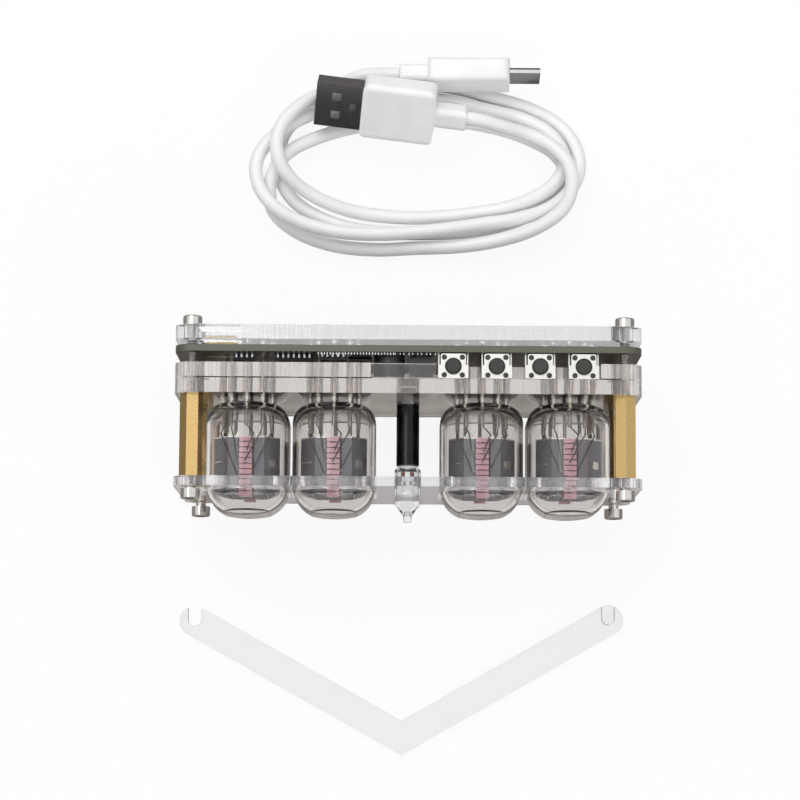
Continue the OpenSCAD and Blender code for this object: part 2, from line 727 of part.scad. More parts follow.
module slot_outline(grow) {
    circle(r = stand_slot_w/2 + grow, $fn = smooth);
    translate([-stand_slot_w/2 - grow, 0]) square([stand_slot_w + 2*grow, stand_end_r + cut]);
}

module at_stand() translate([stand_at.x, stand_at.y, 0]) rotate([0, 0, stand_turn]) children();

module stand() color([0.9, 0.9, 0.9, 0.5]) at_stand() linear_extrude(front_t) difference() {
    stand_outline();
    for (s = [-1, 1]) translate([s*screw_x, stand_end_r - stand_slot + stand_slot_w/2]) slot_outline(0);
}

// The piece that the laser cut free, still lying in the right slot
module stand_knockout() color([0.9, 0.9, 0.9, 0.5]) at_stand() linear_extrude(front_t) intersection() {
    translate([screw_x, 0]) circle(r = stand_end_r, $fn = smooth);
    translate([screw_x, stand_end_r - stand_slot + stand_slot_w/2]) slot_outline(-kerf);
}

// ---------- cable ----------

// Smooth value between the second and third of four neighbours
function blend(a, b, c, d, t) =
    0.5*(2*b + (c - a)*t + (2*a - 5*b + 4*c - d)*t*t + (3*b - a - 3*c + d)*t*t*t);
function at_step(list, u) =
    let (n = len(list), k = min(floor(u), n - 2), t = u - k)
    blend(list[max(k - 1, 0)], list[k], list[k + 1], list[min(k + 2, n - 1)], t);
function loop_point(u) =
    let (a = first_angle + step_angle*u, o = at_step(reach, u), h = max(at_step(lift, u), 0))
    [cord_middle.x + (cord_oval.x + o)*cos(a), cord_middle.y + (cord_oval.y + o)*sin(a), cord_r + h];

micro_dir = [-cos(micro_turn), -sin(micro_turn), 0];
large_dir = [-cos(large_turn), -sin(large_turn), 0];
cord_route = concat(
    [micro_exit, micro_exit + cord_d*micro_dir, micro_exit + [-9.5, -0.6, 0.6]],
    [for (k = [0:rings_a_step*(len(reach) - 1)]) loop_point(k/rings_a_step)],
    [large_exit + cord_d*2.6*large_dir + [0, -0.6, -1.4], large_exit + cord_d*large_dir, large_exit]);

function unit(v) = v/norm(v);
function heading(p, i) = unit(p[min(i + 1, len(p) - 1)] - p[max(i - 1, 0)]);
function ring_at(p, i, r, n) =
    let (f = heading(p, i), s = unit(cross(f, [0, 0, 1])), t = cross(s, f))
    [for (k = [0:n - 1]) p[i] + r*(cos(360*k/n)*s + sin(360*k/n)*t)];

module tube_along(p, r, n) {
    m = len(p);
    points = [for (i = [0:m - 1]) each ring_at(p, i, r, n)];
    walls = [for (i = [0:m - 2], k = [0:n - 1])
        let (a = i*n + k, b = i*n + (k + 1)%n)
        each [[a, b, b + n], [a, b + n, a + n]]];
    polyhedron(points, concat([[for (k = [n - 1:-1:0]) k]], walls,
        [[for (k = [0:n - 1]) (m - 1)*n + k]]));
}

// Least distance between stretches of the cord that aren't neighbours
apart = 8;
self_gap = min([for (i = [0:len(cord_route) - 1 - apart], j = [i + apart:len(cord_route) - 1])
    norm(cord_route[i] - cord_route[j])]) - cord_d;
cord_length = cord_sum(0);
function cord_sum(i) = i >= len(cord_route) - 1 ? 0 :
    norm(cord_route[i + 1] - cord_route[i]) + cord_sum(i + 1);
echo(cord_self_gap = self_gap, cord_length = cord_length);

module cord() color("#ececec") tube_along(cord_route, cord_r, cord_sides);

// A plug's own frame: X towards its tip, from the cord's exit
module at_large() translate(large_exit) rotate([0, 0, large_turn]) rotate([large_roll, 0, 0]) children();
module at_micro() translate(micro_exit) rotate([0, 0, micro_turn]) rotate([micro_roll, 0, 0]) children();

module rounded(w, h, r) {
    for (x = [-1, 1], y = [-1, 1]) translate([x*(w/2 - r), y*(h/2 - r)]) circle(r = r, $fn = 32);
    square([w - 2*r, h], center = true);
    square([w, h - 2*r], center = true);
}

// Moulded grip: a rounded bar, rounded off in plan as well
module grip(from, len, w, h, r_edge, r_plan) {
    intersection() {
        translate([from, 0, 0]) rotate([90, 0, 90]) linear_extrude(len) rounded(w, h, r_edge);
        translate([from + len/2, 0, -h]) linear_extrude(2*h) rounded(len, w, r_plan);
    }
}

large_relief = [8.1, 5.6];           // length and width of a strain relief
large_body = [18.5, 15.4, 7.4];
shell_a = [11.8, 12, 4.5];
micro_relief = [7.3, 4.8];
micro_body = [20.8, 9.4, 6.5];
shell_m = [7.8, 6.85, 1.8];
shell_wall = 0.3;

module usb_a_mould() color("#f0f0f0") at_large() {
    grip(0, large_relief.x + 1, large_relief.y, large_relief.y, 1.6, 1);
    grip(large_relief.x, large_body.x, large_body.y, large_body.z, 1.6, 2.2);
}

module usb_a_shell() color("#8e8e90") at_large()
    translate([large_relief.x + large_body.x, 0, 0]) difference() {
        translate([0, -shell_a.y/2, -shell_a.z/2]) cube(shell_a);
        translate([-cut, -shell_a.y/2 + shell_wall, -shell_a.z/2 + shell_wall])
            cube([shell_a.x + 2*cut, shell_a.y - 2*shell_wall, shell_a.z - 2*shell_wall]);
        for (s = [-1, 1]) translate([5.4, s*2.6 - 1.15, -shell_a.z])
            cube([2.3, 2.3, 2*shell_a.z]);
        translate([2.3, 0, 0]) for (s = [-1, 1]) translate([0, s*0.35, 0])
            cylinder(h = shell_a.z, d = 1.5, $fn = 24);
    }

module usb_a_tongue() color("#e4e4e0") at_large()
    let (inset = shell_wall + seal)
        translate([large_relief.x + large_body.x, -shell_a.y/2 + inset, -shell_a.z/2 + inset])
            cube([shell_a.x - 1, shell_a.y - 2*inset, 1.7]);

module micro_mould() color("#f0f0f0") at_micro() {
    grip(0, micro_relief.x + 1, micro_relief.y, micro_relief.y, 1.4, 0.9);
    grip(micro_relief.x, micro_body.x, micro_body.y, micro_body.z, 1.5, 1.6);
}

// Trapezium-shaped mouth of the small plug
module micro_shell() color("#9a9a9c") at_micro()
    translate([micro_relief.x + micro_body.x, 0, 0]) rotate([90, 0, 90]) linear_extrude(shell_m.x)
        difference() {
            mouth(0);
            mouth(shell_wall);
        }

module mouth(wall) {
    w = shell_m.y/2 - wall;
    h = shell_m.z/2 - wall;
    polygon([[-w, h], [w, h], [w, 0], [w - 0.9, -h], [-w + 0.9, -h], [-w, 0]]);
}

back_plate();
spacer_plate();
mid_plate();
front_plate();
circuit_board();
solder_joints();
driver_chips();
power_parts();
usb_socket();
standoffs();
front_screws();
back_screws();
for (i = [0:3]) {
    tube_glass(i);
    tube_pins(i);
    tube_shield(i);
    tube_digits(i);
    tube_spacers(i);
    tube_mesh(i);
    button(i);
}
lamp_glass();
lamp_electrodes();
lamp_sleeve();
switch_frames();
switch_housings();
stand();
stand_knockout();
cord();
usb_a_shell();
usb_a_tongue();
usb_a_mould();
micro_shell();
micro_mould();
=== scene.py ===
# Glow-tube clock in clear plates, with its loose V stand and charging cable.
import math
import bpy
import numpy as np
from mathutils import Matrix, Vector


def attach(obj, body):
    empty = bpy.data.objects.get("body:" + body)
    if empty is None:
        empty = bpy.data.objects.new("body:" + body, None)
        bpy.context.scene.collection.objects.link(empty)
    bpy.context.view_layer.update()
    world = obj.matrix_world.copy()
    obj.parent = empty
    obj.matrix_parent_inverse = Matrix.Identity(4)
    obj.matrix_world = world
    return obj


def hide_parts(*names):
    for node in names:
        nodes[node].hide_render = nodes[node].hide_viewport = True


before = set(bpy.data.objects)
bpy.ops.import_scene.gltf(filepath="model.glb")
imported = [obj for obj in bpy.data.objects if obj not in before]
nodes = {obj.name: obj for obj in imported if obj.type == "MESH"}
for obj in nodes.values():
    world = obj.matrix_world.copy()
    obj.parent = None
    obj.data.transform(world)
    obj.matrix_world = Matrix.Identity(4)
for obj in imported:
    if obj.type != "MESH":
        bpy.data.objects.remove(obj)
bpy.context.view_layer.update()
mm = 0.001


def linear(hexColour):
    # sRGB hex to linear: c/12.92 below 0.04045, else ((c + 0.055)/1.055)^2.4
    parts = [int(hexColour[i:i + 2], 16) / 255 for i in (1, 3, 5)]
    return tuple(c / 12.92 if c <= 0.04045 else ((c + 0.055) / 1.055) ** 2.4 for c in parts) + (1.0,)


def newMaterial(name):
    material = bpy.data.materials.new(name)
    material.use_nodes = True
    material.node_tree.nodes.clear()
    return material


def addNode(tree, kind, settings=None, links=None):
    # settings: attribute or input to value; links: input to another node's output
    node = tree.nodes.new(kind)
    for key, value in (settings or {}).items():
        if isinstance(key, str) and hasattr(node, key):
            setattr(node, key, value)
        else:
            node.inputs[key].default_value = value
    for key, output in (links or {}).items():
        tree.links.new(output, node.inputs[key])
    return node


def meshPiece(name, points, faces, smooth=True):
    # points: n x 3 in millimetres; faces: lists of corner numbers
    mesh = bpy.data.meshes.new(name)
    mesh.from_pydata((np.asarray(points) * mm).tolist(), [], faces)
    mesh.polygons.foreach_set("use_smooth", np.full(len(mesh.polygons), smooth))
    mesh.update()
    piece = bpy.data.objects.new(name, mesh)
    bpy.context.scene.collection.objects.link(piece)
    return piece


def gridFaces(rows, columns):
    # Quads of a grid of rows x columns points, the columns joined end to end
    r, c = np.meshgrid(np.arange(rows - 1), np.arange(columns), indexing="ij")
    a = r * columns + c
    b = r * columns + (c + 1) % columns
    return np.stack([a, a + columns, b + columns, b], axis=-1).reshape(-1, 4).tolist()


def wear(piece, material):
    piece.data.materials.clear()
    piece.data.materials.append(material)


# The camera stands almost straight above, a little to the front, as the photograph's did
camera = dict(place=(-1.988, -91.47, 711.43), tilt=7.537, roll=0.373, lens=126.68,
              sensor=36, near=0.01, far=10)


def placeCamera(spec):
    # Tilt lifts the view from straight down towards the back, and roll turns it about its own axis
    tilt, roll = math.radians(spec["tilt"]), math.radians(spec["roll"])
    forward = Vector((0, math.sin(tilt), -math.cos(tilt)))
    up = Vector((0, math.cos(tilt), math.sin(tilt)))
    across = Vector((1, 0, 0))
    right = math.cos(roll) * across + math.sin(roll) * up
    top = -math.sin(roll) * across + math.cos(roll) * up
    data = bpy.data.cameras.new("camera")
    data.lens = spec["lens"]
    data.sensor_width = spec["sensor"]
    data.clip_start = spec["near"]
    data.clip_end = spec["far"]
    body = bpy.data.objects.new("camera", data)
    rows = [(right[i], top[i], -forward[i], spec["place"][i] * mm) for i in range(3)]
    body.matrix_world = Matrix(rows + [(0, 0, 0, 1)])
    bpy.context.scene.collection.objects.link(body)
    bpy.context.scene.camera = body


placeCamera(camera)
print("camera placed")

# The cable: nearly four loose turns of an oval, on the same route as its solid. Reach is how far each
# step of the route lies outside the oval, and lift is how high the cord's underside lies there
cord = dict(
    diameter=3.5, middle=(2, 62.5), oval=(37.5, 19.5), firstAngle=120, stepAngle=30,
    smallExit=(-2.7, 85.4, 9), smallLead=(-9.5, -0.6, 0.6),
    largeExit=(14.4, 73.1, 13), largeTurn=173, largeLead=2.6, largeSag=(0, -0.6, -1.4),
    reach=[3.5, 1.5, -2.5, -5, -6, -6.5, -6, -3, 0, 0, -2, -1,
           -0.5, 0.5, 3.5, 4, 1, -2, -2, 2, 4, 4, 2, 3,
           3.5, 1, -2, -1.5, -1.5, -2.5, -1.5, 0, 0.5, -4, -6, -6.5,
           -7, -6, -2, 4.5, 4, 1.5, 3, 5, 0.5, -4.5],
    lift=[5.5, 8.5, 9, 4.5, 1, 0.5, 1, 3.5, 4.5, 3, 1.5, 1,
          2, 4.5, 5.5, 6, 5, 4.5, 4.5, 4, 2.5, 0.5, 0, 0,
          0, 0, 0, 0, 0, 0, 0, 0, 0, 0, 0, 0,
          0.5, 2, 4.5, 0.5, 0, 1, 3.5, 8, 9, 6.5],
    ringsAStep=2, sides=24, fineness=8)


def blendSteps(values, u):
    # Catmull-Rom through four neighbours: 0.5(2b + (c-a)t + (2a-5b+4c-d)t^2 + (3b-a-3c+d)t^3)
    values = np.asarray(values, float)
    last = len(values) - 1
    k = np.minimum(np.floor(u).astype(int), last - 1)
    t = (u - k).reshape((-1,) + (1,) * (values.ndim - 1))
    a, b, c, d = (values[np.clip(k + i, 0, last)] for i in (-1, 0, 1, 2))
    return 0.5 * (2 * b + (c - a) * t + (2 * a - 5 * b + 4 * c - d) * t ** 2
                  + (3 * b - a - 3 * c + d) * t ** 3)


def cordRoute(spec):
    # Oval of radii (A + out, B + out) about the middle, its angle one stepAngle a step, led into each
    # plug along the plug's own line
    u = np.arange(spec["ringsAStep"] * (len(spec["reach"]) - 1) + 1) / spec["ringsAStep"]
    angle = np.radians(spec["firstAngle"] + spec["stepAngle"] * u)
    out = blendSteps(spec["reach"], u)
    height = np.maximum(blendSteps(spec["lift"], u), 0) + spec["diameter"] / 2
    loops = np.stack([spec["middle"][0] + (spec["oval"][0] + out) * np.cos(angle),
                      spec["middle"][1] + (spec["oval"][1] + out) * np.sin(angle), height], axis=1)
    small, large = np.array(spec["smallExit"], float), np.array(spec["largeExit"], float)
    turn = math.radians(spec["largeTurn"])
    away = np.array([-math.cos(turn), -math.sin(turn), 0])
    head = np.array([small, small + [-spec["diameter"], 0, 0], small + spec["smallLead"]])
    tail = np.array([large + spec["diameter"] * spec["largeLead"] * away + spec["largeSag"],
                     large + spec["diameter"] * away, large])
    return np.vstack([head, loops, tail])


def tubeAlong(name, path, radius, sides):
    # Ring k of the tube: p(k) + r(cos a * side + sin a * top), side = heading x up, ends closed
    heading = np.gradient(path, axis=0)
    heading /= np.linalg.norm(heading, axis=1)[:, None]
    side = np.cross(heading, [0, 0, 1])
    side /= np.linalg.norm(side, axis=1)[:, None]
    top = np.cross(side, heading)
    a = np.linspace(0, 2 * math.pi, sides, endpoint=False)[None, :, None]
    rings = path[:, None] + radius * (np.cos(a) * side[:, None] + np.sin(a) * top[:, None])
    ends = len(path) * sides
    faces = gridFaces(len(path), sides)
    faces += [[ends, k, (k + 1) % sides] for k in range(sides)]
    faces += [[ends + 1, ends - sides + (k + 1) % sides, ends - sides + k] for k in range(sides)]
    return meshPiece(name, np.vstack([rings.reshape(-1, 3), path[:1], path[-1:]]), faces)


route = cordRoute(cord)
finePath = blendSteps(route, np.arange(cord["fineness"] * (len(route) - 1) + 1) / cord["fineness"])
cordPiece = tubeAlong("whiteCord", finePath, cord["diameter"] / 2, cord["sides"])
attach(cordPiece, "clock")
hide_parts("cord")

# White table and a white tent of light; the lamps are two large softboxes. The shares say how much of
# the floor's look is plain glow, and how much of the tent lights the object. In mirrors the floor is a dark
# taupe, painted shade for the clock's shadow on it
studio = dict(floorSize=6000, floorLevel=-0.05, floorColour="#F8F8F8", paintedShadeInMirrors="#7A7069",
              glowShare=0.9, mirrorShare=0.8, glassShare=0.75,
              skyShare=0.54, horizon=0.25, horizonInGlass=0.75, skyFullAt=0.6,
              keyPlace=(-250, 520, 900), keyPower=6.0, fillPlace=(450, -550, 800), fillPower=3.0,
              lampSize=900, lampAim=(0, 0, 0.02))


def shareSeen(tree, byCamera, byMirror, byGlass, byLight):
    # A number that depends on what looks: the camera, a mirror, something through glass,
    # or a surface being lit
    path = addNode(tree, "ShaderNodeLightPath")
    first = addNode(tree, "ShaderNodeMapRange", {"To Min": byLight, "To Max": byMirror},
                    {"Value": path.outputs["Is Glossy Ray"]})
    second = addNode(tree, "ShaderNodeMapRange", {"To Max": byGlass},
                     {"Value": path.outputs["Is Transmission Ray"], "To Min": first.outputs[0]})
    return addNode(tree, "ShaderNodeMapRange", {"To Max": byCamera},
                   {"Value": path.outputs["Is Camera Ray"], "To Min": second.outputs[0]}).outputs[0]


def floorPaper():
    # Matt white paper; what the lens sees is mostly plain white, with the shadows kept. Mirrors see it in a
    # dark taupe, painted shade standing in for the shadow under the clock
    material = newMaterial("mattWhitePaper")
    tree = material.node_tree
    paper = addNode(tree, "ShaderNodeBsdfDiffuse", {"Color": linear(studio["floorColour"])})
    # Mirrors see the floor in a dark taupe: painted shade for the shadow under the clock
    seen = addNode(tree, "ShaderNodeMix",
                   {"data_type": "RGBA", 6: (1, 1, 1, 1), 7: linear(studio["paintedShadeInMirrors"])},
                   {0: shareSeen(tree, 0.0, 1.0, 0.0, 0.0)})
    glow = addNode(tree, "ShaderNodeEmission", {"Strength": 1.0}, {"Color": seen.outputs[2]})
    share = shareSeen(tree, studio["glowShare"], studio["mirrorShare"], studio["glassShare"], 0.0)
    mix = addNode(tree, "ShaderNodeMixShader", {},
                  {"Fac": share, 1: paper.outputs[0], 2: glow.outputs[0]})
    addNode(tree, "ShaderNodeOutputMaterial", {}, {"Surface": mix.outputs[0]})
    return material


def tentSky():
    # Bright overhead and greyer towards the horizon, so that metal and glass show their form
    world = bpy.data.worlds.new("studio")
    bpy.context.scene.world = world
    world.use_nodes = True
    tree = world.node_tree
    tree.nodes.clear()
    look = addNode(tree, "ShaderNodeTexCoord")
    split = addNode(tree, "ShaderNodeSeparateXYZ", {}, {"Vector": look.outputs["Object"]})
    low = shareSeen(tree, 1.0, studio["horizon"], studio["horizonInGlass"], studio["horizon"])
    climb = addNode(tree, "ShaderNodeMapRange",
                    {"interpolation_type": "SMOOTHSTEP", "From Min": 0.0,
                     "From Max": studio["skyFullAt"], "To Max": 1.0},
                    {"Value": split.outputs["Z"], "To Min": low})
    glow = addNode(tree, "ShaderNodeMath", {"operation": "MULTIPLY"},
                   {0: climb.outputs[0], 1: shareSeen(tree, 1.0, 1.0, 1.0, studio["skyShare"])})
    byCamera = addNode(tree, "ShaderNodeLightPath").outputs["Is Camera Ray"]
    plain = addNode(tree, "ShaderNodeMath", {"operation": "MAXIMUM"}, {0: glow.outputs[0], 1: byCamera})
    sky = addNode(tree, "ShaderNodeBackground", {"Color": (1, 1, 1, 1)}, {"Strength": plain.outputs[0]})
    addNode(tree, "ShaderNodeOutputWorld", {}, {"Surface": sky.outputs[0]})


def softbox(name, place, size, power):
    lamp = bpy.data.lights.new(name, "AREA")
    lamp.shape = "SQUARE"
    lamp.size = size * mm
    lamp.energy = power
    box = bpy.data.objects.new(name, lamp)
    box.location = Vector(place) * mm
    box.rotation_euler = (Vector(studio["lampAim"]) - box.location).to_track_quat("-Z", "Y").to_euler()
    bpy.context.scene.collection.objects.link(box)


half, level = studio["floorSize"] / 2, studio["floorLevel"]
floorCorners = [[-half, -half, level], [half, -half, level], [half, half, level], [-half, half, level]]
floor = meshPiece("floor", floorCorners, [[0, 1, 2, 3]], smooth=False)
wear(floor, floorPaper())
tentSky()
softbox("keyLight", studio["keyPlace"], studio["lampSize"], studio["keyPower"])
softbox("fillLight", studio["fillPlace"], studio["lampSize"], studio["fillPower"])
bpy.context.scene.view_settings.view_transform = "Standard"
print("stage and lamps set")

# Where faces lie along Y, in millimetres, as in the CAD: the board's front, the back plate's back, the
# front plate's front, the tubes' glass bases and the backs of the shields in them
stack = dict(boardFront=8.2, backFace=14.7, frontFace=-24.05, glassBack=-2.35, shieldBack=-11.25)

# Small things beside the CAD: the strip that closes the spacer's window at the top, the row of pads'
# tips on the board's edge, and the chip resistors beside it, each a body between two caps
strip = dict(low=(-9.0, 2.05, 42.9), high=(6.6, 5.55, 46.0), soft=0.12)
boardPads = dict(firstX=-21.6, pitch=0.72, count=26, wide=0.32, low=44.4, high=45.3, proud=0.65, soft=0.05)
resistors = dict(firstX=-2.6, pitch=2.1, count=5, long=1.6, tall=0.8, low=44.0, proud=0.55, soft=0.06,
                 cap=0.35, bodyInset=0.1, bodySunk=0.03)
rootDepth = 0.02  # how deep the board's small parts stand in its lacquer


def softBlocks(name, low, high, soft):
    # Boxes from low to high with chamfered edges: by each corner lie three points, one on each of its
    # faces, moved in by soft along the two other axes; they make 6 faces, 12 edges and 8 tips
    low, high = np.atleast_2d(low).astype(float), np.atleast_2d(high).astype(float)
    signs = np.array([[x, y, z] for x in (-1, 1) for y in (-1, 1) for z in (-1, 1)])
    half = (high - low)[:, None, None, :] / 2
    inset = half - soft * (1 - np.eye(3))[None, None]
    points = (low + high)[:, None, None, :] / 2 + signs[None, :, None, :] * inset
    corner = {tuple(s): i for i, s in enumerate(signs.tolist())}
    faces = []
    for axis in range(3):
        other = [k for k in range(3) if k != axis]
        for side in (-1, 1):
            loop = []
            for u, v in ((-1, -1), (1, -1), (1, 1), (-1, 1)):
                s = [0, 0, 0]
                s[axis], s[other[0]], s[other[1]] = side, u, v
                loop.append(corner[tuple(s)] * 3 + axis)
            faces.append(loop)
        for u in (-1, 1):
            for v in (-1, 1):
                ends = []
                for side in (-1, 1):
                    s = [0, 0, 0]
                    s[axis], s[other[0]], s[other[1]] = side, u, v
                    ends.append(corner[tuple(s)] * 3)
                faces.append([ends[0] + other[0], ends[1] + other[0],
                              ends[1] + other[1], ends[0] + other[1]])
    faces += [[3 * i, 3 * i + 1, 3 * i + 2] for i in range(len(signs))]
    base = points[0].reshape(-1, 3) - (low[0] + high[0]) / 2
    for k, loop in enumerate(faces):
        a, b, c = base[loop[0]], base[loop[1]], base[loop[2]]
        if np.dot(np.cross(b - a, c - b), base[loop].mean(axis=0)) < 0:
            faces[k] = loop[::-1]
    every = [[n + len(base) * i for n in loop] for i in range(len(low)) for loop in faces]
    return meshPiece(name, points.reshape(-1, 3), every, smooth=False)


def rowAlong(spec, lowX, highX, lowZ, highZ, proud):
    # Low and high corners of a row of blocks on the board's front: block k stands at firstX + pitch * k
    x = spec["firstX"] + spec["pitch"] * np.arange(spec["count"])
    face, one = stack["boardFront"], np.ones(spec["count"])
    return (np.stack([x + lowX, (face - proud) * one, lowZ * one], axis=1),
            np.stack([x + highX, (face + rootDepth) * one, highZ * one], axis=1))


spacerStrip = softBlocks("spacerStrip", strip["low"], strip["high"], strip["soft"])
padLow, padHigh = rowAlong(boardPads, -boardPads["wide"] / 2, boardPads["wide"] / 2,
                           boardPads["low"], boardPads["high"], boardPads["proud"])
capsTop = resistors["low"] + resistors["tall"]
bodyLow, bodyHigh = rowAlong(resistors, -resistors["long"] / 2 + resistors["bodyInset"],
                             resistors["long"] / 2 - resistors["bodyInset"],
                             resistors["low"] + resistors["bodySunk"], capsTop - resistors["bodySunk"],
                             resistors["proud"] - resistors["bodySunk"])
capRows = [rowAlong(resistors, lowX, lowX + resistors["cap"], resistors["low"], capsTop, resistors["proud"])
           for lowX in (-resistors["long"] / 2, resistors["long"] / 2 - resistors["cap"])]
boardTips = softBlocks("boardTips", np.vstack([padLow] + [r[0] for r in capRows]),
                       np.vstack([padHigh] + [r[1] for r in capRows]), boardPads["soft"])
chipResistors = softBlocks("chipResistors", bodyLow, bodyHigh, resistors["soft"])
added = ((spacerStrip, "stripAcrylic", "clear_grey"), (boardTips, "solder", "solder"),
         (chipResistors, "epoxy", "chip_black"))
for piece, _, slotName in added:
    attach(piece, "clock")
print("strip, pads and resistors added")


noiseSpan = {"From Min": 0.3, "From Max": 0.7}  # where nearly all of a noise's values lie


def surface(tree, settings, links):
    # The shader of one material, joined to its output
    shader = addNode(tree, "ShaderNodeBsdfPrincipled", settings, links)
    addNode(tree, "ShaderNodeOutputMaterial", {}, {"Surface": shader.outputs[0]})


def grain(tree, sizeMm, stretch=(1, 1, 1), detail=3.0):
    # Noise on the piece's own place, whose grains measure sizeMm, divided by stretch along each axis
    where = addNode(tree, "ShaderNodeTexCoord")
    turned = addNode(tree, "ShaderNodeMapping", {"Scale": stretch}, {"Vector": where.outputs["Object"]})
    return addNode(tree, "ShaderNodeTexNoise", {"Scale": 1000 / sizeMm, "Detail": detail},
                   {"Vector": turned.outputs[0]}).outputs["Fac"]


def tintedBy(tree, value, darkHex, lightHex):
    # Ramp from one hex colour to the other over the noise's usual range
    ramp = addNode(tree, "ShaderNodeValToRGB", {}, {"Fac": value})
    for element, place, colour in zip(ramp.color_ramp.elements, noiseSpan.values(), (darkHex, lightHex)):
        element.position = place
        element.color = linear(colour)
    return ramp.outputs[0]


def squareTo(tree, axis):
    # 1 where the surface faces squarely along the axis, 0 where it runs beside it
    normal = addNode(tree, "ShaderNodeTexCoord").outputs["Normal"]
    split = addNode(tree, "ShaderNodeSeparateXYZ", {}, {"Vector": normal})
    return addNode(tree, "ShaderNodeMath", {"operation": "ABSOLUTE"}, {0: split.outputs[axis]}).outputs[0]


def along(tree, axis):
    # How far along the axis the place lies, in metres
    where = addNode(tree, "ShaderNodeTexCoord")
    return addNode(tree, "ShaderNodeSeparateXYZ", {}, {"Vector": where.outputs["Object"]}).outputs[axis]


def within(tree, axis, low, high):
    # 1 where the place along the axis lies between low and high, in millimetres
    return addNode(tree, "ShaderNodeMath",
                   {"operation": "COMPARE", 1: (low + high) / 2 * mm, 2: (high - low) / 2 * mm},
                   {0: along(tree, axis)}).outputs[0]


# The marks that the laser leaves on a cut edge: scale is in marks to the metre along X, Y and Z, so they
# run through the sheet, 0.6 mm apart, coarser than the real ones so that they show
laserMarks = dict(scale=(1650, 60, 1650), depth=0.03, strength=0.8)


def castAcrylic(name, faceTone, edgeTone, edgeBody, edgeRough, boreBody, faceAxis="Y"):
    # Cast PMMA, laser cut: polished clear faces, and cut edges that are satin, lined and a little milky.
    # edgeBody says how milky the straight edges are, and boreBody the walls of the bores and scallops
    material = newMaterial(name)
    tree = material.node_tree
    onFace = squareTo(tree, faceAxis)
    edge = addNode(tree, "ShaderNodeMapRange", {"From Min": 0.9, "From Max": 0.6},
                   {"Value": onFace}).outputs[0]
    where = addNode(tree, "ShaderNodeTexCoord")
    drawn = addNode(tree, "ShaderNodeMapping", {"Scale": laserMarks["scale"]},
                    {"Vector": where.outputs["Object"]})
    lines = addNode(tree, "ShaderNodeTexNoise", {"Scale": 1.0, "Detail": 2.0},
                    {"Vector": drawn.outputs[0]}).outputs["Fac"]
    height = addNode(tree, "ShaderNodeMath", {"operation": "MULTIPLY"}, {0: lines, 1: edge})
    bump = addNode(tree, "ShaderNodeBump",
                   {"Strength": laserMarks["strength"], "Distance": laserMarks["depth"] * mm},
                   {"Height": height.outputs[0]})
    rough = addNode(tree, "ShaderNodeMapRange", {"To Min": 0.03, "To Max": edgeRough}, {"Value": edge})
    straight = addNode(tree, "ShaderNodeMath", {"operation": "MAXIMUM"},
                       {0: squareTo(tree, "X"), 1: squareTo(tree, "Z")})
    flat = addNode(tree, "ShaderNodeMapRange", {"From Min": 0.99, "From Max": 0.999},
                   {"Value": straight.outputs[0]})
    cut = addNode(tree, "ShaderNodeMapRange", {"To Min": boreBody, "To Max": edgeBody},
                  {"Value": flat.outputs[0]})
    streaks = addNode(tree, "ShaderNodeMapRange",
                      {"From Min": 0.35, "From Max": 0.65, "To Min": 0.7, "To Max": 1.3}, {"Value": lines})
    lined = addNode(tree, "ShaderNodeMath", {"operation": "MULTIPLY"},
                    {0: cut.outputs[0], 1: streaks.outputs[0]})
    body = addNode(tree, "ShaderNodeMath", {"operation": "MULTIPLY"}, {0: edge, 1: lined.outputs[0]})
    clear = addNode(tree, "ShaderNodeMath", {"operation": "SUBTRACT", 0: 1.0}, {1: body.outputs[0]})
    tone = addNode(tree, "ShaderNodeMix",
                   {"data_type": "RGBA", 6: linear(faceTone), 7: linear(edgeTone)}, {0: edge})
    surface(tree, {"IOR": 1.49}, {"Base Color": tone.outputs[2], "Roughness": rough.outputs[0],
                                  "Transmission Weight": clear.outputs[0], "Normal": bump.outputs[0]})
    return material


def blownGlass(name, tone):
    # Soda-lime glass, blown: clear, with slow waves about 6 mm apart and a faint bloom on it; the IOR is
    # lower than the real 1.52, as the modelled wall is thicker than the real one
    material = newMaterial(name)
    tree = material.node_tree
    bump = addNode(tree, "ShaderNodeBump", {"Strength": 0.5, "Distance": 0.05 * mm},
                   {"Height": grain(tree, 6, detail=1.0)})
    surface(tree, {"Base Color": linear(tone), "IOR": 1.33, "Transmission Weight": 0.975, "Roughness": 0.0},
            {"Normal": bump.outputs[0]})
    return material


def bareMetal(name, darkHex, lightHex, roughLow, roughHigh, stretch=(1, 1, 1), sizeMm=0.4, depthMm=0.01):
    # Bare or plated metal with a fine uneven skin; stretch makes turning or rolling marks of it
    material = newMaterial(name)
    tree = material.node_tree
    marks = grain(tree, sizeMm, stretch)
    rough = addNode(tree, "ShaderNodeMapRange", {**noiseSpan, "To Min": roughLow, "To Max": roughHigh},
                    {"Value": marks})
    bump = addNode(tree, "ShaderNodeBump", {"Strength": 0.5, "Distance": depthMm * mm}, {"Height": marks})
    surface(tree, {"Metallic": 1.0}, {"Base Color": tintedBy(tree, marks, darkHex, lightHex),
                                      "Roughness": rough.outputs[0], "Normal": bump.outputs[0]})
    return material


# Thread pitch and depth, and where the threads stop: a little before the front plate's front, and a
# little inside the back plate's back
screws = dict(pitch=0.45, depth=0.10, frontStop=0.2, backStop=0.1)


